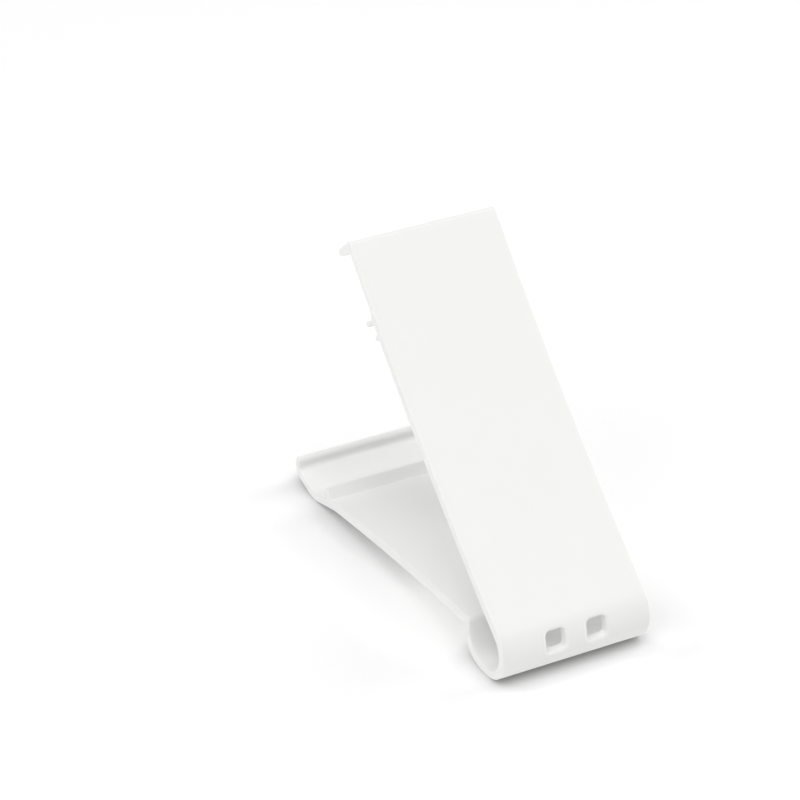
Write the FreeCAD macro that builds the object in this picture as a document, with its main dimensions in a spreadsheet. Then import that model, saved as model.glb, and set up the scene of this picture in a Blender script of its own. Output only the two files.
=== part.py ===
import FreeCAD, Part
import math
import os
import Sketcher

Vector = FreeCAD.Vector

# Sizes of the clip, in millimetres and degrees
SIZES = {
    "strip_width": 35.0,
    "wall": 2.3,
    "curl_station": 40.54,
    "curl_radius": 7.2,
    "curl_flat": 2.4,
    "plate_angle": 39.5,
    "plate_length": 87.4,
    "plate_bow": 630.0,
    "tip_wall": 1.7,
    "hook_corner": 1.2,
    "hook_turn": 90.0,
    "hook_length": 4.2,
    "hook_tip": 0.65,
    "hook_taper": 11.5,
    "hook_root": 0.5,
    "clamp_reach": 13.6,
    "tooth_thickness": 1.4,
    "tooth_reach": 2.9,
    "tooth_gap": 1.8,
    "nib_thickness": 1.2,
    "nib_reach": 0.9,
    "sill_round": 0.9,
    "base_height": 7.25,
    "base_length": 59.7,
    "base_bow": 670.0,
    "kink_height": 2.4,
    "ridge_setback": 1.4,
    "ridge_slope": 54.0,
    "ridge_face": 2.6,
    "ridge_tip": 0.5,
    "ridge_back_slope": 82.0,
    "toe_wall": 1.8,
    "toe_slope": 14.2,
    "toe_radius": 8.0,
    "seat_angle": 20.0,
    "seat_length": 4.25,
    "lip_round": 3.0,
    "lip_length": 0.6,
    "slot_width": 4.6,
    "slot_height": 4.7,
    "slot_corner": 0.95,
    "slot_pitch": 9.7,
    "slot_rise": 1.15,
    "slot_bevel": 0.35,
    "root_round": 0.3,
    "kink_round": 8.0,
    "edge_bevel": 0.3,
}

document = FreeCAD.newDocument("ClipStand")
sheet = document.addObject("Spreadsheet::Sheet", "Sizes")
for row, (alias, value) in enumerate(SIZES.items(), start=1):
    sheet.set(f"A{row}", alias)
    sheet.set(f"B{row}", str(value))
    sheet.setAlias(f"B{row}", alias)
document.recompute()


def size(name):
    """One driving size, as a number."""
    return SIZES[name]


def along(angle):
    """Unit vector at an angle in degrees, counted from the sketch's first axis."""
    return Vector(math.cos(math.radians(angle)), math.sin(math.radians(angle)), 0)


def left_of(angle):
    """Unit vector a quarter turn to the left of that direction."""
    return along(angle + 90)


def run_to_circle(start, direction, centre, radius):
    """Length of the shortest run from a point, forwards or back along a direction, to a circle."""
    offset = start - centre
    half = offset.dot(direction)
    reach = math.sqrt(half * half - offset.dot(offset) + radius * radius)
    return min(-half - reach, -half + reach, key=abs)


class Outline:
    """A closed chain of lines and arcs in a sketch, each piece known by its name."""

    def __init__(self, sketch, start):
        self.sketch = sketch
        self.point = start
        self.pieces = {}

    def line(self, name, end):
        index = self.sketch.addGeometry(Part.LineSegment(self.point, end), False)
        self.pieces[name] = (index, 1, 2)
        self.point = end

    def arc(self, name, centre, end, left=True):
        """An arc round a centre, turning left (anticlockwise) or right."""
        first, last = (self.point, end) if left else (end, self.point)
        circle = Part.Circle(centre, Vector(0, 0, 1), (end - centre).Length)
        spin = [math.atan2(p.y - centre.y, p.x - centre.x) for p in (first, last)]
        index = self.sketch.addGeometry(Part.ArcOfCircle(circle, *spin), False)
        self.pieces[name] = (index, 1, 2) if left else (index, 2, 1)
        self.point = end

    def index(self, name):
        return self.pieces[name][0]

    def begin(self, name):
        return self.pieces[name][0], self.pieces[name][1]

    def end(self, name):
        return self.pieces[name][0], self.pieces[name][2]

    def centre(self, name):
        return self.pieces[name][0], 3

    def rule(self, kind, *places):
        """A geometric rule between whole pieces or points."""
        flat = []
        for place in places:
            flat.extend(place if isinstance(place, tuple) else (place,))
        return self.sketch.addConstraint(Sketcher.Constraint(kind, *flat))

    def smooth(self, *names):
        """Neighbours in this run of pieces meet without a corner."""
        for first, second in zip(names, names[1:]):
            self.rule("Tangent", self.end(first), self.begin(second))

    def corner(self, first, second):
        """Two neighbours meet at a sharp corner."""
        self.rule("Coincident", self.end(first), self.begin(second))

    def measure(self, label, kind, places, value, expression):
        """A named dimension, bound to the sheet."""
        flat = []
        for place in places:
            flat.extend(place if isinstance(place, tuple) else (place,))
        number = self.sketch.addConstraint(Sketcher.Constraint(kind, *flat, value))
        self.sketch.renameConstraint(number, label)
        self.sketch.setExpression(f"Constraints.{label}", expression)


def origin_plane(body, role):
    """One of the body's own origin planes."""
    return next(item for item in body.Origin.OriginFeatures if item.Role == role)


ORIGIN = (-1, 1)
FIRST_AXIS = -1

# The whole clip is one moulded strip of constant section
body = document.addObject("PartDesign::Body", "ClipStand")
body.Label = "clip_stand"
section = body.newObject("Sketcher::SketchObject", "Section")
section.AttachmentSupport = [(origin_plane(body, "YZ_Plane"), "")]
section.MapMode = "FlatFace"

# Curl: two quarter bends over a short flat that stands on the table
wall = size("wall")
curl = size("curl_radius")
curl_inside = curl - wall
front_centre = Vector(-size("curl_station"), curl, 0)
back_centre = front_centre + Vector(size("curl_flat"), 0, 0)

# Plate: leaves the curl at its own slope and bows a little away from the base
rise = size("plate_angle")
bow = size("plate_bow")
plate_start = front_centre + curl * left_of(rise)
bow_centre = plate_start + bow * left_of(rise)
tip_angle = rise + math.degrees(2 * math.asin(size("plate_length") / (2 * bow)))
plate_end = bow_centre - bow * left_of(tip_angle)

# Hook: turns over at the plate's tip and tapers to a round nose
hook_centre = plate_end - size("hook_corner") * left_of(tip_angle)
hook_angle = tip_angle - size("hook_turn")
hook_start = hook_centre + size("hook_corner") * left_of(hook_angle)
hook_end = hook_start + size("hook_length") * along(hook_angle)
nose_centre = hook_end - size("hook_tip") * left_of(hook_angle)
draw_angle = hook_angle - 180 + size("hook_taper")
nose_end = nose_centre + size("hook_tip") * left_of(draw_angle)
root = size("hook_root")
thin_face = bow + size("tip_wall")
root_base = nose_end + root * left_of(draw_angle)
root_run = run_to_circle(root_base, along(draw_angle), bow_centre, thin_face + root)
root_centre = root_base + root_run * along(draw_angle)
root_start = root_centre - root * left_of(draw_angle)
root_end = bow_centre + thin_face * (root_centre - bow_centre).normalize()


def slide_down(point, radius, chord):
    """The point a chord further down the plate, on a circle round the bow's centre."""
    arm = point - bow_centre
    turn = -2 * math.asin(chord / (2 * radius))
    return bow_centre + Vector(
        arm.x * math.cos(turn) - arm.y * math.sin(turn),
        arm.x * math.sin(turn) + arm.y * math.cos(turn),
        0,
    )


def tooth_points(upper_root, thickness, reach):
    """Corners of a rib across the plate: upper tip, lower tip, lower root."""
    out = along(draw_angle - 180)
    across = thickness * left_of(draw_angle)
    run = run_to_circle(upper_root + across, out, bow_centre, bow + wall)
    lower_root = upper_root + across + run * out
    lower_tip = lower_root + reach * out
    return lower_tip - across, lower_tip, lower_root


# Two ribs on the plate's inner face, parallel to the underside of the hook
tooth_root = slide_down(root_end, thin_face, size("clamp_reach"))
tooth = tooth_points(tooth_root, size("tooth_thickness"), size("tooth_reach"))
nib_root = slide_down(tooth[2], bow + wall, size("tooth_gap"))
nib = tooth_points(nib_root, size("nib_thickness"), size("nib_reach"))

# Base: runs from the back of the curl to the toe, arched a little
base_height = size("base_height")
base_start = back_centre + Vector(math.sqrt(curl ** 2 - (base_height - curl) ** 2), base_height - curl, 0)
base_drop = base_height - size("kink_height")
base_end = base_start + Vector(math.sqrt(size("base_length") ** 2 - base_drop ** 2), -base_drop, 0)
base_bow = size("base_bow")
base_run = base_end - base_start
base_arm = math.sqrt(base_bow ** 2 - (size("base_length") / 2) ** 2)
base_right = Vector(base_run.y, -base_run.x, 0).normalize()
base_centre = base_start + 0.5 * base_run + base_arm * base_right
top_face = base_bow + wall
sill = size("sill_round")
sill_across = back_centre.x + curl_inside + sill
sill_up = base_centre.y + math.sqrt((top_face - sill) ** 2 - (sill_across - base_centre.x) ** 2)
sill_centre = Vector(sill_across, sill_up, 0)
sill_start = sill_centre - Vector(sill, 0, 0)
sill_end = base_centre + top_face * (sill_centre - base_centre).normalize()

# Ridge: a tooth across the base, steep on the side of the trough
ridge_across = base_end.x + size("ridge_setback")
ridge_up = base_centre.y + math.sqrt(top_face ** 2 - (ridge_across - base_centre.x) ** 2)
ridge_foot = Vector(ridge_across, ridge_up, 0)
ridge_slope = size("ridge_slope")
ridge_back = -size("ridge_back_slope")
ridge_shoulder = ridge_foot + size("ridge_face") * along(ridge_slope)
ridge_centre = ridge_shoulder - size("ridge_tip") * left_of(ridge_slope)
ridge_brow = ridge_centre + size("ridge_tip") * left_of(ridge_back)

# Toe: dips to the table, rises again as a seat and ends in an upturned lip
toe_wall = size("toe_wall")
toe_slope = -size("toe_slope")
toe_radius = size("toe_radius")
toe_run = (base_end.y + toe_radius * left_of(toe_slope).y - toe_radius) / -along(toe_slope).y
toe_start = base_end + toe_run * along(toe_slope)
toe_centre = toe_start + toe_radius * left_of(toe_slope)
trough_start = toe_start + toe_wall * left_of(toe_slope)
seat_angle = size("seat_angle")
seat_start = toe_centre - (toe_radius - toe_wall) * left_of(seat_angle)
under_start = toe_centre - toe_radius * left_of(seat_angle)
under_end = under_start + size("seat_length") * along(seat_angle)
lip_centre = under_end + size("lip_round") * left_of(seat_angle)
lip_inside = size("lip_round") - toe_wall
lip_foot = lip_centre + size("lip_round") * along(seat_angle)
lip_top = lip_foot + size("lip_length") * left_of(seat_angle)
lip_crown = lip_top - 0.5 * toe_wall * along(seat_angle)
valley = trough_start - ridge_brow
valley_run = (valley.x * along(toe_slope).y - valley.y * along(toe_slope).x) / (
    along(ridge_back).x * along(toe_slope).y - along(ridge_back).y * along(toe_slope).x
)
ridge_heel = ridge_brow + valley_run * along(ridge_back)

# The section, once round: plate, hook, ribs, curl inside, base, toe, underside, curl outside
outline = Outline(section, plate_start)
outline.arc("plate_outer", bow_centre, plate_end)
outline.arc("hook_corner", hook_centre, hook_start, left=False)
outline.line("hook_top", hook_end)
outline.arc("hook_nose", nose_centre, nose_end, left=False)
outline.line("hook_under", root_start)
outline.arc("hook_root", root_centre, root_end)
outline.arc("plate_tip", bow_centre, tooth_root, left=False)
for name, points, onward in (("tooth", tooth, nib_root), ("nib", nib, None)):
    outline.line(f"{name}_upper", points[0])
    outline.arc(f"{name}_tip", 0.5 * (points[0] + points[1]), points[1], left=False)
    outline.line(f"{name}_lower", points[2])
    if onward:
        outline.arc("plate_land", bow_centre, onward, left=False)
outline.arc("plate_inner", bow_centre, front_centre + curl_inside * left_of(rise), left=False)
outline.arc("curl_front_inside", front_centre, front_centre - Vector(0, curl_inside, 0))
outline.line("curl_floor", back_centre - Vector(0, curl_inside, 0))
outline.arc("curl_back_inside", back_centre, back_centre + Vector(curl_inside, 0, 0))
outline.line("curl_rise", sill_start)
outline.arc("sill", sill_centre, sill_end, left=False)
outline.arc("base_top", base_centre, ridge_foot, left=False)
outline.line("ridge_face", ridge_shoulder)
outline.arc("ridge_tip", ridge_centre, ridge_brow, left=False)
outline.line("ridge_back", ridge_heel)
outline.line("trough_back", trough_start)
outline.arc("trough", toe_centre, seat_start)
outline.line("seat", lip_centre - lip_inside * left_of(seat_angle))
outline.arc("lip_root", lip_centre, lip_centre + lip_inside * along(seat_angle))
outline.line("lip_inner", lip_top - toe_wall * along(seat_angle))
outline.arc("lip_crown", lip_crown, lip_top, left=False)
outline.line("lip_outer", lip_foot)
outline.arc("lip_corner", lip_centre, under_end, left=False)
outline.line("seat_under", under_start)
outline.arc("toe_under", toe_centre, toe_start, left=False)
outline.line("toe_slope", base_end)
outline.arc("base_under", base_centre, base_start)
outline.arc("curl_back", back_centre, back_centre - Vector(0, curl, 0), left=False)
outline.line("curl_foot", front_centre - Vector(0, curl, 0))
outline.arc("curl_front", front_centre, plate_start, left=False)

# How neighbours meet
outline.smooth("plate_outer", "hook_corner", "hook_top", "hook_nose", "hook_under", "hook_root", "plate_tip")
for name in ("tooth", "nib"):
    outline.smooth(f"{name}_upper", f"{name}_tip", f"{name}_lower")
outline.corner("plate_tip", "tooth_upper")
outline.corner("tooth_lower", "plate_land")
outline.corner("plate_land", "nib_upper")
outline.corner("nib_lower", "plate_inner")
outline.corner("plate_inner", "curl_front_inside")
outline.smooth("curl_front_inside", "curl_floor", "curl_back_inside", "curl_rise", "sill", "base_top")
outline.corner("base_top", "ridge_face")
outline.smooth("ridge_face", "ridge_tip", "ridge_back")
outline.corner("ridge_back", "trough_back")
outline.smooth("trough_back", "trough", "seat", "lip_root", "lip_inner", "lip_crown", "lip_outer")
outline.smooth("lip_outer", "lip_corner", "seat_under", "toe_under", "toe_slope")
outline.corner("toe_slope", "base_under")
outline.corner("base_under", "curl_back")
outline.smooth("curl_back", "curl_foot", "curl_front", "plate_outer")

# Curl and plate share centres, so the wall keeps its thickness round the bend
plate_root = section.addGeometry(Part.LineSegment(front_centre, plate_start), True)
outline.rule("Coincident", (plate_root, 1), outline.centre("curl_front"))
outline.rule("Coincident", (plate_root, 2), outline.begin("plate_outer"))
outline.rule("PointOnObject", outline.begin("curl_front_inside"), plate_root)
outline.rule("Coincident", outline.centre("curl_front_inside"), outline.centre("curl_front"))
outline.rule("Coincident", outline.centre("curl_back_inside"), outline.centre("curl_back"))
outline.rule("Equal", outline.index("curl_front"), outline.index("curl_back"))
outline.rule("Equal", outline.index("curl_front_inside"), outline.index("curl_back_inside"))
outline.rule("Horizontal", outline.index("curl_foot"))
outline.rule("PointOnObject", outline.begin("curl_foot"), FIRST_AXIS)
outline.rule("Vertical", outline.index("curl_rise"))
for name in ("plate_tip", "plate_land", "plate_inner"):
    outline.rule("Coincident", outline.centre(name), outline.centre("plate_outer"))
outline.rule("Equal", outline.index("plate_land"), outline.index("plate_inner"))
for name in ("tooth_upper", "tooth_lower", "nib_upper", "nib_lower"):
    outline.rule("Parallel", outline.index(name), outline.index("hook_under"))
outline.rule("Coincident", outline.centre("base_top"), outline.centre("base_under"))
outline.rule("Coincident", outline.centre("trough"), outline.centre("toe_under"))
outline.rule("Coincident", outline.centre("lip_root"), outline.centre("lip_corner"))
outline.rule("Parallel", outline.index("trough_back"), outline.index("toe_slope"))
outline.rule("Parallel", outline.index("seat"), outline.index("seat_under"))
outline.rule("Parallel", outline.index("lip_inner"), outline.index("lip_outer"))
outline.rule("Perpendicular", outline.index("lip_outer"), outline.index("seat_under"))

# Radii
for label, name, formula in (
    ("curl_radius", "curl_front", "Sizes.curl_radius"),
    ("curl_inside", "curl_front_inside", "Sizes.curl_radius - Sizes.wall"),
    ("plate_bow", "plate_outer", "Sizes.plate_bow"),
    ("plate_thin", "plate_tip", "Sizes.plate_bow + Sizes.tip_wall"),
    ("hook_corner", "hook_corner", "Sizes.hook_corner"),
    ("hook_nose", "hook_nose", "Sizes.hook_tip"),
    ("hook_root", "hook_root", "Sizes.hook_root"),
    ("tooth_round", "tooth_tip", "Sizes.tooth_thickness / 2"),
    ("nib_round", "nib_tip", "Sizes.nib_thickness / 2"),
    ("sill_round", "sill", "Sizes.sill_round"),
    ("base_bow", "base_under", "Sizes.base_bow"),
    ("base_thick", "base_top", "Sizes.base_bow + Sizes.wall"),
    ("ridge_round", "ridge_tip", "Sizes.ridge_tip"),
    ("toe_radius", "toe_under", "Sizes.toe_radius"),
    ("lip_round", "lip_corner", "Sizes.lip_round"),
    ("lip_crown", "lip_crown", "Sizes.toe_wall / 2"),
):
    index = outline.index(name)
    outline.measure(label, "Radius", (index,), section.Geometry[index].Radius, formula)

# Lengths between two points
for label, first, last, formula in (
    ("plate_length", outline.begin("plate_outer"), outline.end("plate_outer"), "Sizes.plate_length"),
    ("hook_length", outline.begin("hook_top"), outline.end("hook_top"), "Sizes.hook_length"),
    ("clamp_reach", outline.begin("plate_tip"), outline.end("plate_tip"), "Sizes.clamp_reach"),
    ("tooth_reach", outline.begin("tooth_lower"), outline.end("tooth_lower"), "Sizes.tooth_reach"),
    ("tooth_gap", outline.begin("plate_land"), outline.end("plate_land"), "Sizes.tooth_gap"),
    ("nib_reach", outline.begin("nib_lower"), outline.end("nib_lower"), "Sizes.nib_reach"),
    ("base_length", outline.begin("base_under"), outline.end("base_under"), "Sizes.base_length"),
    ("ridge_face", outline.begin("ridge_face"), outline.end("ridge_face"), "Sizes.ridge_face"),
    ("seat_length", outline.begin("seat_under"), outline.end("seat_under"), "Sizes.seat_length"),
    ("lip_length", outline.begin("lip_outer"), outline.end("lip_outer"), "Sizes.lip_length"),
):
    outline.measure(label, "Distance", (first, last), size(label), formula)

# Places along and above the table
kink_end = outline.end("toe_slope")
foot = outline.end("curl_foot")
for label, kind, first, last, formula in (
    ("curl_station", "DistanceX", foot, ORIGIN, "Sizes.curl_station"),
    ("curl_flat", "DistanceX", foot, outline.begin("curl_foot"), "Sizes.curl_flat"),
    ("base_height", "DistanceY", ORIGIN, outline.end("base_under"), "Sizes.base_height"),
    ("kink_height", "DistanceY", ORIGIN, outline.begin("base_under"), "Sizes.kink_height"),
    ("ridge_setback", "DistanceX", kink_end, outline.begin("ridge_face"), "Sizes.ridge_setback"),
):
    outline.measure(label, kind, (first, last), size(label), formula)
toe_level = (ORIGIN, outline.centre("toe_under"))
outline.measure("toe_level", "DistanceY", toe_level, toe_radius, "Sizes.toe_radius")

# Slopes and turns
for label, index, value, formula in (
    ("plate_angle", plate_root, 90 + rise, "90 + Sizes.plate_angle"),
    ("hook_turn", outline.index("hook_corner"), size("hook_turn"), "Sizes.hook_turn"),
    ("hook_taper", outline.index("hook_nose"), 180 - size("hook_taper"), "180 - Sizes.hook_taper"),
    ("ridge_slope", outline.index("ridge_face"), ridge_slope, "Sizes.ridge_slope"),
    ("ridge_back", outline.index("ridge_back"), ridge_back, "-Sizes.ridge_back_slope"),
    ("toe_slope", outline.index("toe_slope"), 180 + toe_slope, "180 - Sizes.toe_slope"),
    ("seat_angle", outline.index("seat_under"), 180 + seat_angle, "180 + Sizes.seat_angle"),
):
    outline.measure(label, "Angle", (index,), math.radians(value), formula)
document.recompute()

# Points nearer than this are taken to touch
TOUCH = 1e-4


def edges_where(shape, test):
    """Names of the edges whose every sampled point passes a test."""
    names = []
    for number, edge in enumerate(shape.Edges, start=1):
        if all(test(point) for point in edge.discretize(5)):
            names.append(f"Edge{number}")
    return names


def on_line(corner):
    """Test for points on the line across the strip through a corner of the section."""
    return lambda point: math.hypot(point.y - corner.x, point.z - corner.y) < TOUCH


# Strip: the section carried across the width, half to each side
strip = body.newObject("PartDesign::Pad", "Strip")
strip.Profile = section
strip.Midplane = True
strip.setExpression("Length", "Sizes.strip_width")
document.recompute()

# Roots: every inside corner of the section is rounded, as a mould leaves it
inside_corners = (tooth_root, tooth[2], nib_root, nib[2], ridge_foot, ridge_heel, base_start)
root_edges = [name for corner in inside_corners for name in edges_where(strip.Shape, on_line(corner))]
roots = body.newObject("PartDesign::Fillet", "Roots")
roots.Base = (strip, root_edges)
roots.setExpression("Radius", "Sizes.root_round")
document.recompute()
kink = body.newObject("PartDesign::Fillet", "Kink")
kink.Base = (roots, edges_where(roots.Shape, on_line(base_end)))
kink.setExpression("Radius", "Sizes.kink_round")
document.recompute()

# Slots: two strap holes through the front wall of the curl, cut from outside
slots = body.newObject("Sketcher::SketchObject", "Slots")
slots.AttachmentSupport = [(origin_plane(body, "XZ_Plane"), "")]
slots.MapMode = "FlatFace"
slots.setExpression(".AttachmentOffset.Base.z", "Sizes.curl_station")
half_width = size("slot_width") / 2
half_height = size("slot_height") / 2
bend = size("slot_corner")
for side, word in ((-1, "left"), (1, "right")):
    middle = Vector(side * size("slot_pitch") / 2, curl + size("slot_rise"), 0)
    low = middle - Vector(half_width, half_height, 0)
    high = middle + Vector(half_width, half_height, 0)
    hole = Outline(slots, Vector(low.x + bend, low.y, 0))
    hole.line("bottom", Vector(high.x - bend, low.y, 0))
    hole.arc("bottom_right", Vector(high.x - bend, low.y + bend, 0), Vector(high.x, low.y + bend, 0))
    hole.line("right", Vector(high.x, high.y - bend, 0))
    hole.arc("top_right", Vector(high.x - bend, high.y - bend, 0), Vector(high.x - bend, high.y, 0))
    hole.line("top", Vector(low.x + bend, high.y, 0))
    hole.arc("top_left", Vector(low.x + bend, high.y - bend, 0), Vector(low.x, high.y - bend, 0))
    hole.line("left", Vector(low.x, low.y + bend, 0))
    hole.arc("bottom_left", Vector(low.x + bend, low.y + bend, 0), Vector(low.x + bend, low.y, 0))
    hole.smooth("bottom", "bottom_right", "right", "top_right", "top")
    hole.smooth("top", "top_left", "left", "bottom_left", "bottom")
    for name in ("bottom", "top"):
        hole.rule("Horizontal", hole.index(name))
    for name in ("left", "right"):
        hole.rule("Vertical", hole.index(name))
    for name in ("top_right", "top_left", "bottom_left"):
        hole.rule("Equal", hole.index(name), hole.index("bottom_right"))
    hole.measure(f"{word}_corner", "Radius", (hole.index("bottom_right"),), bend, "Sizes.slot_corner")
    across = (hole.end("left"), hole.begin("right"))
    hole.measure(f"{word}_width", "DistanceX", across, size("slot_width"), "Sizes.slot_width")
    upward = (hole.begin("bottom"), hole.end("top"))
    hole.measure(f"{word}_height", "DistanceY", upward, size("slot_height"), "Sizes.slot_height")
    sill_level = "Sizes.curl_radius + Sizes.slot_rise - Sizes.slot_height / 2"
    hole.measure(f"{word}_level", "DistanceY", (ORIGIN, hole.begin("bottom")), low.y, sill_level)
    inward = (hole.begin("right"), ORIGIN) if side < 0 else (ORIGIN, hole.end("left"))
    half_bridge = "(Sizes.slot_pitch - Sizes.slot_width) / 2"
    hole.measure(f"{word}_place", "DistanceX", inward, abs(middle.x) - half_width, half_bridge)
document.recompute()
pierce = body.newObject("PartDesign::Pocket", "Pierce")
pierce.Profile = slots
pierce.Reversed = True
pierce.setExpression("Length", "Sizes.curl_radius + Sizes.wall")
document.recompute()

# Edges: the slots' outer rims and all round the strip's two sides are eased
half_strip = size("strip_width") / 2
bend_axis = Vector(0, -size("curl_station"), curl)


def on_end(point):
    """The point lies on one of the strip's two sides."""
    return abs(abs(point.x) - half_strip) < TOUCH


def on_rim(point):
    """The point lies where a slot breaks through the outside of the curl's front bend."""
    reach = math.hypot(point.y - bend_axis.y, point.z - bend_axis.z)
    beside = abs(point.x) < (size("slot_pitch") + size("slot_width")) / 2 + TOUCH
    return beside and abs(reach - curl) < TOUCH


rims = body.newObject("PartDesign::Chamfer", "EasedRims")
rims.Base = (pierce, edges_where(pierce.Shape, on_rim))
rims.setExpression("Size", "Sizes.slot_bevel")
document.recompute()
ends = body.newObject("PartDesign::Chamfer", "EasedEnds")
ends.Base = (rims, edges_where(rims.Shape, on_end))
ends.setExpression("Size", "Sizes.edge_bevel")
document.recompute()

# Nothing is written unless every feature and the finished solid are sound
for item in document.Objects:
    if {"Invalid", "Error"} & set(item.State):
        raise RuntimeError(f"{item.Name} failed: {item.State}")
if body.Shape.isNull() or not body.Shape.isValid() or len(body.Shape.Solids) != 1:
    raise RuntimeError("the clip is not one sound solid")
os.makedirs("parts", exist_ok=True)
body.Shape.exportStep(f"parts/{body.Label}.step")
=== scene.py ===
import math

import bpy
from mathutils import Matrix, Vector


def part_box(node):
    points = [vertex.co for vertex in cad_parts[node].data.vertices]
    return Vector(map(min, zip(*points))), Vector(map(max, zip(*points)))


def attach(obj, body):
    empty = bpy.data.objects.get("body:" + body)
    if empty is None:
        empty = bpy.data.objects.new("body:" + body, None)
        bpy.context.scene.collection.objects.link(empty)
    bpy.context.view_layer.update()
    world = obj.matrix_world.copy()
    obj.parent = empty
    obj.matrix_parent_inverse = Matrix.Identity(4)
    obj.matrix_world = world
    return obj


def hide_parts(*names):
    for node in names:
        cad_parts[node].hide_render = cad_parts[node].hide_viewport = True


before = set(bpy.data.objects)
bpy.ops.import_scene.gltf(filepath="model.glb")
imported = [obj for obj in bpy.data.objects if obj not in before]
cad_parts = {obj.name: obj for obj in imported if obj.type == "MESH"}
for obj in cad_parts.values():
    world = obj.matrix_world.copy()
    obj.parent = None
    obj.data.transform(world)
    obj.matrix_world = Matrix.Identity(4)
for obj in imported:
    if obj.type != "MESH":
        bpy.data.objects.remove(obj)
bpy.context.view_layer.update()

# The curl is the springy end of the clip, where the moulded strip turns right round on itself.
# It stands on a short flat, where its wall is a little thinner, so that it bends there.
# The section is drawn in millimetres: along the table, then up, then the radius of a corner.
MM = 0.001
chord_error = 0.0015
low, high = (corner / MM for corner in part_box("clip_stand"))
wall = 2.3
curl_radius = 7.2
curl_inside = curl_radius - wall
curl_flat = 2.4
bore_ease = 0.3
plate_angle = 39.5


def turn(angle):
    """Unit vector in the section, at an angle in degrees up from the direction of the toe."""
    return Vector((math.cos(math.radians(angle)), math.sin(math.radians(angle)), 0))


def arc(centre, radius, start, stop):
    """Points round part of a circle, from one angle to another in degrees, as close as its chords need."""
    step = 2 * math.degrees(math.acos(1 - chord_error / radius))
    count = math.ceil(abs(stop - start) / step)
    return [centre + radius * turn(start + (stop - start) * i / count) for i in range(count + 1)]


front_centre = Vector((low.y + curl_radius, curl_radius, 0))
back_centre = front_centre + Vector((curl_flat, 0, 0))
bore_radius = curl_inside + bore_ease
bore_front = front_centre - bore_ease * turn(plate_angle + 90)
bore_back = Vector((back_centre.x - bore_ease, bore_front.y, 0))
curl_inner_line = arc(bore_front, bore_radius, plate_angle + 90, 270)
curl_inner_line += arc(bore_back, bore_radius, 270, 360)
curl_front_line = arc(front_centre, curl_radius, -90, plate_angle - 270)

# The plate is the long plain face that slopes up from the curl, moulded in one with it.
# It bows a little away from the base, and is thinner between the ribs and its tip.
plate_length = 87.4
plate_bow = 630.0
tip_wall = 1.5
bow_centre = front_centre + (curl_radius + plate_bow) * turn(plate_angle + 90)
tip_angle = plate_angle + math.degrees(2 * math.asin(plate_length / (2 * plate_bow)))
plate_end = bow_centre + plate_bow * turn(tip_angle - 90)
plate_outer_line = arc(bow_centre, plate_bow, plate_angle - 90, tip_angle - 90)


def bearing(point, centre):
    """Angle in degrees at which a point lies from a centre."""
    return math.degrees(math.atan2(point.y - centre.y, point.x - centre.x))


def plate_inner(start, stop, depth):
    """Run of the plate's inner face between two points on it, as deep as its wall is there."""
    return arc(bow_centre, plate_bow + depth, bearing(start, bow_centre), bearing(stop, bow_centre))


# The hook turns over at the plate's tip and comes down over whatever leans against the plate.
# It is moulded with the plate, tapers to a round nose, and has a small round in its inner corner.
hook_corner = 1.2
hook_length = 4.7
hook_nose = 0.8
hook_taper = 11.5
hook_root = 0.5


def reach_circle(start, way, centre, radius):
    """Point where the shortest run from a start, forwards or back along a way, meets a circle."""
    offset = start - centre
    half = offset.dot(way)
    swing = math.sqrt(half * half - offset.dot(offset) + radius * radius)
    return start + min(-half - swing, -half + swing, key=abs) * way


def corner(point, radius):
    """A corner of the section that is rounded off by a radius."""
    return [Vector((point.x, point.y, radius))]


hook_centre = plate_end + hook_corner * turn(tip_angle - 90)
hook_end = hook_centre + hook_corner * turn(tip_angle) + hook_length * turn(tip_angle - 90)
nose_centre = hook_end - hook_nose * turn(tip_angle)
underside_angle = tip_angle - 270 + hook_taper
nose_end = nose_centre + hook_nose * turn(underside_angle + 90)
hook_seat = reach_circle(nose_end, turn(underside_angle), bow_centre, plate_bow + tip_wall)
root_start = nose_end + hook_root * turn(underside_angle + 90)
root_centre = reach_circle(root_start, turn(underside_angle), bow_centre, plate_bow + tip_wall + hook_root)
root_end = bow_centre + (plate_bow + tip_wall) * turn(bearing(root_centre, bow_centre))
hook_line = arc(hook_centre, hook_corner, tip_angle + 90, tip_angle)
hook_line += arc(nose_centre, hook_nose, tip_angle, underside_angle + 90)
hook_line += corner(hook_seat, hook_root)

# Two ribs run across the plate's inner face below the hook, a tall one and a low nib behind it.
# They stand parallel to the hook's underside, and the tall one is braced by a round in its upper root.
clamp_reach = 14.5
tooth_thickness = 1.2
tooth_reach = 3.15
tooth_brace = 1.6
tooth_gap = 2.1
nib_thickness = 1.3
nib_reach = 0.95
root_round = 0.3


def slide_down(point, chord):
    """The point a chord further down the plate, as deep in it as the first."""
    radius = (point - bow_centre).length
    swing = math.degrees(2 * math.asin(chord / (2 * radius)))
    return bow_centre + radius * turn(bearing(point, bow_centre) - swing)


def rib(upper_root, upper_round, thickness, reach):
    """Outline of a rib with a round crest, from its upper root, rounded as given, to its lower one."""
    out = turn(underside_angle - 180)
    across = thickness * turn(underside_angle + 90)
    lower_root = reach_circle(upper_root + across, out, bow_centre, plate_bow + wall)
    crest = lower_root + reach * out - across / 2
    top = arc(crest, thickness / 2, underside_angle - 90, underside_angle - 270)
    return corner(upper_root, upper_round) + top + corner(lower_root, root_round)


tooth_root = slide_down(root_end, clamp_reach)
tooth_line = rib(tooth_root, tooth_brace, tooth_thickness, tooth_reach)
nib_root = slide_down(Vector((*tooth_line[-1].xy, 0)), tooth_gap)
nib_line = rib(nib_root, root_round, nib_thickness, nib_reach)

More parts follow.
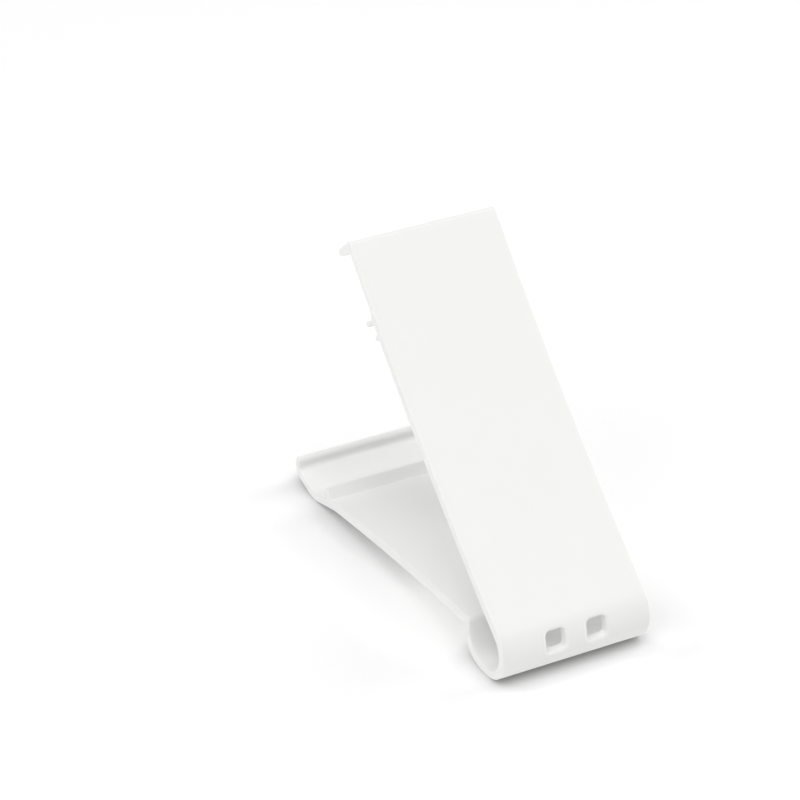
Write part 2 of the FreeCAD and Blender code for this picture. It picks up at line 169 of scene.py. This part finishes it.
# The base is the long foot that runs from the back of the curl to the toe, arched off the table.
# A small round sill leads from the inside of the curl on to its upper face.
base_height = 7.25
base_length = 59.7
base_bow = 670.0
base_top = base_bow + wall
kink_height = 2.4
kink_round = 8.0
sill_round = 0.9
corner_clearance = 4.0
curl_lift = base_height - curl_radius
base_start = back_centre + Vector((math.sqrt(curl_radius ** 2 - curl_lift ** 2), curl_lift, 0))
base_drop = base_height - kink_height
base_end = base_start + Vector((math.sqrt(base_length ** 2 - base_drop ** 2), -base_drop, 0))
base_slope = bearing(base_end, base_start)
base_arm = math.sqrt(base_bow ** 2 - (base_length / 2) ** 2)
base_centre = (base_start + base_end) / 2 + base_arm * turn(base_slope - 90)
sill_across = back_centre.x + curl_inside + sill_round
sill_up = base_centre.y + math.sqrt((base_top - sill_round) ** 2 - (sill_across - base_centre.x) ** 2)
sill_centre = Vector((sill_across, sill_up, 0))
sill_angle = bearing(sill_centre, base_centre)
sill_line = arc(sill_centre, sill_round, 180, sill_angle)
curl_back_line = corner(base_start, root_round)
curl_back_line += arc(back_centre, curl_radius, bearing(base_start, back_centre) - corner_clearance, -90)
base_under_angles = bearing(base_end, base_centre), bearing(base_start, base_centre)
base_under_line = arc(base_centre, base_bow, *base_under_angles)[1:-1]

# The ridge is a tooth across the base that stops the foot of what leans on the clip from sliding.
# Behind it the toe dips to the table as a trough, rises as a seat, and ends in a turned-up lip.
ridge_setback = 1.4
ridge_slope = 54.0
ridge_face = 2.6
ridge_tip = 0.5
ridge_back_slope = -82.0
toe_wall = 1.8
toe_slope = -14.2
toe_radius = 8.0
seat_angle = 20.0
seat_length = 4.25
lip_round = 3.0
lip_length = 0.6


def crossing(first, first_way, second, second_way):
    """Point where two straight runs of the section meet."""
    gap = second - first
    spread = first_way.x * second_way.y - first_way.y * second_way.x
    return first + (gap.x * second_way.y - gap.y * second_way.x) / spread * first_way


ridge_across = base_end.x + ridge_setback
ridge_up = base_centre.y + math.sqrt(base_top ** 2 - (ridge_across - base_centre.x) ** 2)
ridge_foot = Vector((ridge_across, ridge_up, 0))
ridge_centre = ridge_foot + ridge_face * turn(ridge_slope) - ridge_tip * turn(ridge_slope + 90)
ridge_brow = ridge_centre + ridge_tip * turn(ridge_back_slope + 90)
toe_rise = base_end.y - toe_radius * (1 - turn(toe_slope + 90).y)
toe_start = base_end + toe_rise / -turn(toe_slope).y * turn(toe_slope)
toe_centre = toe_start + toe_radius * turn(toe_slope + 90)
trough_start = toe_start + toe_wall * turn(toe_slope + 90)
ridge_heel = crossing(ridge_brow, turn(ridge_back_slope), trough_start, turn(toe_slope))
seat_end = toe_centre + toe_radius * turn(seat_angle - 90) + seat_length * turn(seat_angle)
lip_centre = seat_end + lip_round * turn(seat_angle + 90)
lip_crown = lip_centre + (lip_round - toe_wall / 2) * turn(seat_angle) + lip_length * turn(seat_angle + 90)
base_top_line = arc(base_centre, base_top, sill_angle, bearing(ridge_foot, base_centre))[:-1]
toe_line = corner(ridge_foot, root_round)
toe_line += arc(ridge_centre, ridge_tip, ridge_slope + 90, ridge_back_slope + 90)
toe_line += corner(ridge_heel, root_round)
toe_line += arc(toe_centre, toe_radius - toe_wall, toe_slope - 90, seat_angle - 90)
toe_line += arc(lip_centre, lip_round - toe_wall, seat_angle - 90, seat_angle)
toe_line += arc(lip_crown, toe_wall / 2, seat_angle + 180, seat_angle)
toe_line += arc(lip_centre, lip_round, seat_angle, seat_angle - 90)
toe_line += arc(toe_centre, toe_radius, seat_angle - 90, toe_slope - 90)
toe_line += corner(base_end, kink_round)

# The strip is the whole clip: that one section, moulded in a single shot of white plastic across
# the full width, with its side edges rounded. Two strap slots go through the front of the curl,
# left by a pin of the mould that slides out forwards, and their outer rims are rounded too.
edge_round = 0.35
slot_width = 4.5
slot_height = 4.6
slot_corner = 0.95
slot_pitch = 9.7
slot_rise = 1.15
rim_round = 0.85
least_step = 0.001


class Wire:
    """A socket in a node tree. Sums on it add Math nodes, and node() adds a node of any other kind."""

    def __init__(self, tree, socket):
        self.tree = tree
        self.socket = socket

    @staticmethod
    def node(tree, kind, settings, entries, out=0):
        """A node of a kind: its settings first, then a value or wire for each entry; gives one output."""
        made = tree.nodes.new(kind)
        for name, value in settings.items():
            setattr(made, name, value)
        for key, value in entries.items():
            if isinstance(value, Wire):
                tree.links.new(value.socket, made.inputs[key])
            else:
                made.inputs[key].default_value = value
        return Wire(tree, made.outputs[out])

    def beside(self, name):
        """Another output of the same node."""
        return Wire(self.tree, self.socket.node.outputs[name])

    def maths(self, operation, *others):
        """This value through one Math node, with others beside it."""
        entries = dict(enumerate((self, *others)))
        return Wire.node(self.tree, "ShaderNodeMath", {"operation": operation}, entries)

    def __add__(self, other):
        return self.maths("ADD", other)

    __radd__ = __add__

    def __sub__(self, other):
        return self.maths("SUBTRACT", other)

    def __rsub__(self, other):
        return Wire.node(self.tree, "ShaderNodeMath", {"operation": "SUBTRACT"}, {0: other, 1: self})

    def __mul__(self, other):
        return self.maths("MULTIPLY", other)

    __rmul__ = __mul__

    def __truediv__(self, other):
        return self.maths("DIVIDE", other)


def sweep(outline, rings):
    """A closed tube of rings round an outline: mesh, each point's ring, the outline's place and heading."""
    tree = outline.tree
    line = Wire.node(tree, "GeometryNodeCurvePrimitiveLine", {}, {"End": (1, 0, 0)})
    path = Wire.node(tree, "GeometryNodeResampleCurve", {}, {"Curve": line, "Count": rings})
    parts = {"Curve": path, "Profile Curve": outline, "Fill Caps": True}
    tube = Wire.node(tree, "GeometryNodeCurveToMesh", {}, parts)
    kind = "GeometryNodeAttributeDomainSize"
    points = Wire.node(tree, kind, {"component": "CURVE"}, {"Geometry": outline}, "Point Count")
    index = Wire.node(tree, "GeometryNodeInputIndex", {}, {})
    ring = ((index + 0.5) / points).maths("FLOOR")
    parts = {"Geometry": outline, "Index": index - ring * points}
    found = []
    for kind in ("GeometryNodeInputPosition", "GeometryNodeInputTangent"):
        parts["Value"] = Wire.node(tree, kind, {}, {})
        sample = Wire.node(tree, "GeometryNodeSampleIndex", {"data_type": "FLOAT_VECTOR"}, parts)
        found.append(Wire.node(tree, "ShaderNodeSeparateXYZ", {}, {0: sample}))
    return tube, ring, *found


def set_places(tube, *axes):
    """The tube with its points moved to new places, and its faces turned outwards there."""
    place = Wire.node(tube.tree, "ShaderNodeCombineXYZ", {}, dict(enumerate(axes)))
    moved = Wire.node(tube.tree, "GeometryNodeSetPosition", {}, {"Geometry": tube, "Position": place})
    return Wire.node(tube.tree, "GeometryNodeFlipFaces", {}, {"Mesh": moved})


section = [*plate_outer_line, *hook_line, *plate_inner(root_end, tooth_root, tip_wall)[1:-1]]
section += [*tooth_line, *plate_inner(tooth_line[-1], nib_line[0], wall)[1:-1], *nib_line]
section += [*plate_inner(nib_line[-1], curl_inner_line[0], wall)[1:], *curl_inner_line]
section += [*sill_line, *base_top_line, *toe_line, *base_under_line, *curl_back_line, *curl_front_line]
previous = section[-1:] + section
kept = [point for point, last in zip(section, previous) if (point - last).length > least_step]
drawn = bpy.data.meshes.new("strip_section")
count = len(kept)
drawn.from_pydata([(0, p.x * MM, p.y * MM) for p in kept], [(i, (i + 1) % count) for i in range(count)], [])
rounds = drawn.attributes.new("corner_round", "FLOAT", "POINT")
rounds.data.foreach_set("value", [p.z * MM for p in kept])
strip = bpy.data.objects.new("moulded_strip", drawn)
bpy.context.scene.collection.objects.link(strip)

plastic = bpy.data.materials.new("satin_white_plastic")
plastic.use_nodes = True
sizes = {
    "Strip Width": high.x - low.x,
    "Edge Round": edge_round,
    "Curl Station": -front_centre.x,
    "Curl Radius": curl_radius,
    "Slot Width": slot_width,
    "Slot Height": slot_height,
    "Slot Corner": slot_corner,
    "Slot Pitch": slot_pitch,
    "Slot Rise": slot_rise,
    "Rim Round": rim_round,
}
mould = bpy.data.node_groups.new("strip_mould", "GeometryNodeTree")
mould.interface.new_socket("Section", in_out="INPUT", socket_type="NodeSocketGeometry")
for name in sizes:
    mould.interface.new_socket(name, in_out="INPUT", socket_type="NodeSocketFloat")
mould.interface.new_socket("Plastic", in_out="INPUT", socket_type="NodeSocketMaterial")
mould.interface.new_socket("Strip", in_out="OUTPUT", socket_type="NodeSocketGeometry")
given = {socket.name: Wire(mould, socket) for socket in mould.nodes.new("NodeGroupInput").outputs}

# Across the width: a few close rings round each side edge, and even ones between
corner_points = 5
edge_rings = 6
flat_rings = 36
outline = Wire.node(mould, "GeometryNodeMeshToCurve", {}, {"Mesh": given["Section"]})
easing = Wire.node(mould, "GeometryNodeInputNamedAttribute", {}, {"Name": "corner_round"})
parts = {"Curve": outline, "Count": corner_points, "Radius": easing, "Limit Radius": True}
outline = Wire.node(mould, "GeometryNodeFilletCurve", {"mode": "POLY"}, parts)
tube, ring, place, heading = sweep(outline, 2 * edge_rings + flat_rings)
last_ring = 2 * edge_rings + flat_rings - 1
near = (1 - ring / edge_rings).maths("MAXIMUM", 0) * (math.pi / 2)
far = (1 - (last_ring - ring) / edge_rings).maths("MAXIMUM", 0) * (math.pi / 2)
inner_ring = (ring - edge_rings).maths("MAXIMUM", 0).maths("MINIMUM", flat_rings - 1)
half_width = given["Strip Width"] / 2
spacing = (half_width - given["Edge Round"]) * (2 / (flat_rings - 1))
shift = given["Edge Round"] * (1 - near.maths("SINE") + far.maths("SINE"))
inset = given["Edge Round"] * (2 - near.maths("COSINE") - far.maths("COSINE"))
across = shift - half_width + spacing * inner_ring
along = place.beside("Y") + inset * heading.beside("Z")
upward = place.beside("Z") - inset * heading.beside("Y")
body = set_places(tube, across, along, upward)

# A slot's core: a rounded outline that goes in from before the curl's face, through a flared mouth
slot_corner_points = 24
slot_spacing = 0.2 * MM
mouth_rings = 6
mouth_flare = math.radians(78)
core_lift = 0.06 * MM
core_start = 0.5 * MM
parts = {"Width": given["Slot Width"], "Height": given["Slot Height"]}
frame_line = Wire.node(mould, "GeometryNodeCurvePrimitiveQuadrilateral", {}, parts)
parts = {"Curve": frame_line, "Count": slot_corner_points, "Radius": given["Slot Corner"]}
frame_line = Wire.node(mould, "GeometryNodeFilletCurve", {"mode": "POLY"}, parts)
parts = {"Curve": frame_line, "Length": slot_spacing}
frame_line = Wire.node(mould, "GeometryNodeResampleCurve", {"mode": "LENGTH"}, parts)
# The first ring stands clear of the face, the next lies just off it, and the last is inside the bore
tube, ring, place, heading = sweep(frame_line, mouth_rings + 3)
before = ring.maths("LESS_THAN", 0.5)
lifted = ring.maths("LESS_THAN", 1.5)
inside = ring.maths("GREATER_THAN", mouth_rings + 1.5)
sunk = ((ring - 2) / (mouth_rings - 1)).maths("MAXIMUM", 0).maths("MINIMUM", 1)
flare = (1 - sunk) * mouth_flare
spread = given["Rim Round"] * (1 - flare.maths("COSINE")) + lifted * (core_lift * math.tan(mouth_flare))
depth = given["Rim Round"] * (1 - flare.maths("SINE")) - lifted * core_lift
rise = given["Slot Rise"] + place.beside("Y") - spread * heading
face = (given["Curl Radius"] * given["Curl Radius"] - rise * rise).maths("SQRT")
forward = (face - depth) * (1 - before - inside) + (given["Curl Radius"] + core_start) * before
across = place + spread * heading.beside("Y")
core = set_places(tube, across, -1 * forward - given["Curl Station"], rise + given["Curl Radius"])
step = Wire.node(mould, "ShaderNodeCombineXYZ", {}, {"X": given["Slot Pitch"]})
first = Wire.node(mould, "ShaderNodeCombineXYZ", {}, {"X": given["Slot Pitch"] / -2})
parts = {"Count": 2, "Start Location": first, "Offset": step}
pair = Wire.node(mould, "GeometryNodeMeshLine", {}, parts)
pair = Wire.node(mould, "GeometryNodeInstanceOnPoints", {}, {"Points": pair, "Instance": core})
pair = Wire.node(mould, "GeometryNodeRealizeInstances", {}, {"Geometry": pair})
body = Wire.node(mould, "GeometryNodeMeshBoolean", {"solver": "MANIFOLD"}, {"Mesh 1": body, "Mesh 2": pair})
rims = body.beside("Intersecting Edges")

# The flat sides stay flat and the slots' rims stay crisp; every other face is smooth
side_margin = 0.001 * MM
spot = Wire.node(mould, "GeometryNodeInputPosition", {}, {})
place = Wire.node(mould, "ShaderNodeSeparateXYZ", {}, {0: spot})
rounded = place.maths("ABSOLUTE").maths("LESS_THAN", half_width - side_margin)
body = Wire.node(mould, "GeometryNodeSetShadeSmooth", {}, {"Geometry": body, "Shade Smooth": rounded})
parts = {"Geometry": body, "Selection": rims, "Shade Smooth": False}
body = Wire.node(mould, "GeometryNodeSetShadeSmooth", {"domain": "EDGE"}, parts)
body = Wire.node(mould, "GeometryNodeRealizeInstances", {}, {"Geometry": body})
body = Wire.node(mould, "GeometryNodeSetMaterial", {}, {"Geometry": body, "Material": given["Plastic"]})
mould.links.new(body.socket, mould.nodes.new("NodeGroupOutput").inputs["Strip"])

moulding = strip.modifiers.new("strip_mould", "NODES")
moulding.node_group = mould
for item in mould.interface.items_tree:
    if item.name in sizes:
        moulding[item.identifier] = sizes[item.name] * MM
    elif item.name == "Plastic":
        moulding[item.identifier] = plastic
bpy.context.view_layer.update()
made = strip.evaluated_get(bpy.context.evaluated_depsgraph_get())
strip.data = bpy.data.meshes.new_from_object(made)
strip.modifiers.clear()

# The plastic's own finish: a fine even grain from the mould's eroded faces, barely uneven in tone
grain_scale = 5200
grain_share = 0.3
grain_depth = 0.004 * MM
grain_relief = 0.6
cloud_scale = 85
plain_roughness = 0.40
grain_roughness = 0.10
cloud_roughness = 0.04
plastic_gloss = 0.4
deeper_white = (0.900, 0.900, 0.892)
paler_white = (0.920, 0.920, 0.908)


def blend(share, first, second):
    """Colour between two, by a share from 0 to 1."""
    entries = {0: share, 6: (*first, 1), 7: (*second, 1)}
    return Wire.node(share.tree, "ShaderNodeMix", {"data_type": "RGBA"}, entries, 2)


finish = plastic.node_tree
spot = Wire.node(finish, "ShaderNodeTexCoord", {}, {}, "Object")
grain = Wire.node(finish, "ShaderNodeTexNoise", {}, {"Vector": spot, "Scale": grain_scale, "Detail": 2})
cloud = Wire.node(finish, "ShaderNodeTexNoise", {}, {"Vector": spot, "Scale": cloud_scale, "Detail": 3})
tone = (1 - grain_share) * cloud + grain_share * grain
colour = blend(tone, deeper_white, paler_white)
roughness = plain_roughness + grain_roughness * grain + cloud_roughness * cloud
parts = {"Strength": grain_relief, "Distance": grain_depth, "Height": grain}
relief = Wire.node(finish, "ShaderNodeBump", {}, parts)
shader = finish.nodes["Principled BSDF"]
shader.inputs["Specular IOR Level"].default_value = plastic_gloss
finish.links.new(colour.socket, shader.inputs["Base Color"])
finish.links.new(roughness.socket, shader.inputs["Roughness"])
finish.links.new(relief.socket, shader.inputs["Normal"])
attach(strip, "root")
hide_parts("clip_stand")

# The table: one pale sweep under the clip. The lens sees it as a white ground with the clip's soft shadow
# on it, deepest where they touch, where painted shade also greys its colour; to the clip it is a pale board
# that throws some light back up.
floor_half = 3.0
floor_drop = 0.02 * MM
board_tone = (0.90, 0.90, 0.90, 1)
board_glow = 0.19
shade_reach = 6.0 * MM
shade_samples = 6
# Grey of the painted shade on the ground where it meets the clip
painted_contact_shade = (0.32, 0.32, 0.32)
ground_tone = (1, 1, 1)
ground_haze = 0.06
floor_mesh = bpy.data.meshes.new("table")
corners = [(-1, -1), (1, -1), (1, 1), (-1, 1)]
floor_points = [(x * floor_half, y * floor_half, -floor_drop) for x, y in corners]
floor_mesh.from_pydata(floor_points, [], [(0, 1, 2, 3)])
floor = bpy.data.objects.new("table", floor_mesh)
bpy.context.scene.collection.objects.link(floor)


def looked_at(tree):
    """1 for a ray from the lens, straight or by way of gloss or glass, and 0 for one that only lights."""
    ray = Wire.node(tree, "ShaderNodeLightPath", {}, {}, "Is Camera Ray")
    return (ray + ray.beside("Is Glossy Ray") + ray.beside("Is Transmission Ray")).maths("MINIMUM", 1)


board = bpy.data.materials.new("pale_board")
board.use_nodes = True
tree = board.node_tree
tree.nodes.clear()
matt = Wire.node(tree, "ShaderNodeBsdfDiffuse", {}, {"Color": board_tone})
glow = Wire.node(tree, "ShaderNodeEmission", {}, {"Strength": board_glow})
lit = Wire.node(tree, "ShaderNodeAddShader", {}, {0: matt, 1: glow})
# Painted shade: the ground's colour fades from white to grey where the clip closes in the sky within a few
# millimetres
kind = "ShaderNodeAmbientOcclusion"
open_sky = Wire.node(tree, kind, {"samples": shade_samples}, {"Distance": shade_reach}, "AO")
shade = blend(open_sky, painted_contact_shade, ground_tone)
bright = Wire.node(tree, "ShaderNodeBsdfDiffuse", {}, {"Color": shade})
haze = Wire.node(tree, "ShaderNodeEmission", {}, {"Strength": ground_haze})
ground = Wire.node(tree, "ShaderNodeAddShader", {}, {0: bright, 1: haze})
surface = Wire.node(tree, "ShaderNodeMixShader", {}, {0: looked_at(tree), 1: lit, 2: ground})
tree.links.new(surface.socket, tree.nodes.new("ShaderNodeOutputMaterial").inputs["Surface"])
floor_mesh.materials.append(board)

# Studio light: a white tent, which little but gloss and the lens sees, and soft boxes on all sides.
# A lamp's share is how white it alone would make a white card that faces it at the clip.
lamp_distance = 3.2
tent_fill = 0.02


def towards(azimuth, elevation):
    """Unit vector from the clip to a place so far round from its front and so high, in degrees."""
    turned = math.radians(azimuth)
    raised = math.radians(elevation)
    reach = math.cos(raised)
    return Vector((math.sin(turned) * reach, -math.cos(turned) * reach, math.sin(raised)))


def soft_box(name, azimuth, elevation, side, share):
    """A square lamp, its side in metres, that faces the clip from an azimuth and elevation in degrees."""
    lamp = bpy.data.lights.new(name, "AREA")
    lamp.size = side
    lamp.energy = share * (math.pi * lamp_distance) ** 2
    back = towards(azimuth, elevation)
    aim = back.to_track_quat("Z", "Y").to_matrix().to_4x4()
    item = bpy.data.objects.new(name, lamp)
    item.matrix_world = Matrix.Translation(lamp_distance * back) @ aim
    bpy.context.scene.collection.objects.link(item)


soft_box("front_box", 0, 66, 2.4, 0.56)
soft_box("left_box", -65, 42, 2.0, 0.28)
soft_box("right_box", 90, 14, 1.2, 0.33)
soft_box("right_top_box", 90, 45, 2.0, 0.20)
soft_box("back_box", -130, 35, 1.6, 0.30)
world = bpy.data.worlds.new("tent")
world.use_nodes = True
tree = world.node_tree
tent = tree.nodes["Background"]
tent.inputs["Color"].default_value = (1, 1, 1, 1)
strength = tent_fill + (1 - tent_fill) * looked_at(tree)
tree.links.new(strength.socket, tent.inputs["Strength"])
bpy.context.scene.world = world
bpy.context.scene.view_settings.view_transform = "Standard"

# Camera: the photograph's place, turn and lens
camera_place = Vector((-0.301416, -0.546787, 0.397115))
camera_azimuth = -27.591
camera_elevation = 29.744
camera_roll = math.radians(-0.608)
lens = bpy.data.cameras.new("photo_camera")
lens.sensor_width = 36
lens.lens = 153
lens.clip_start = 0.05
back = towards(camera_azimuth, camera_elevation)
level = Vector((math.cos(math.radians(camera_azimuth)), math.sin(math.radians(camera_azimuth)), 0))
right = math.cos(camera_roll) * level + math.sin(camera_roll) * back.cross(level)
facing = Matrix((right, back.cross(right), back)).transposed().to_4x4()
camera = bpy.data.objects.new("photo_camera", lens)
camera.matrix_world = Matrix.Translation(camera_place) @ facing
bpy.context.scene.collection.objects.link(camera)
bpy.context.scene.camera = camera
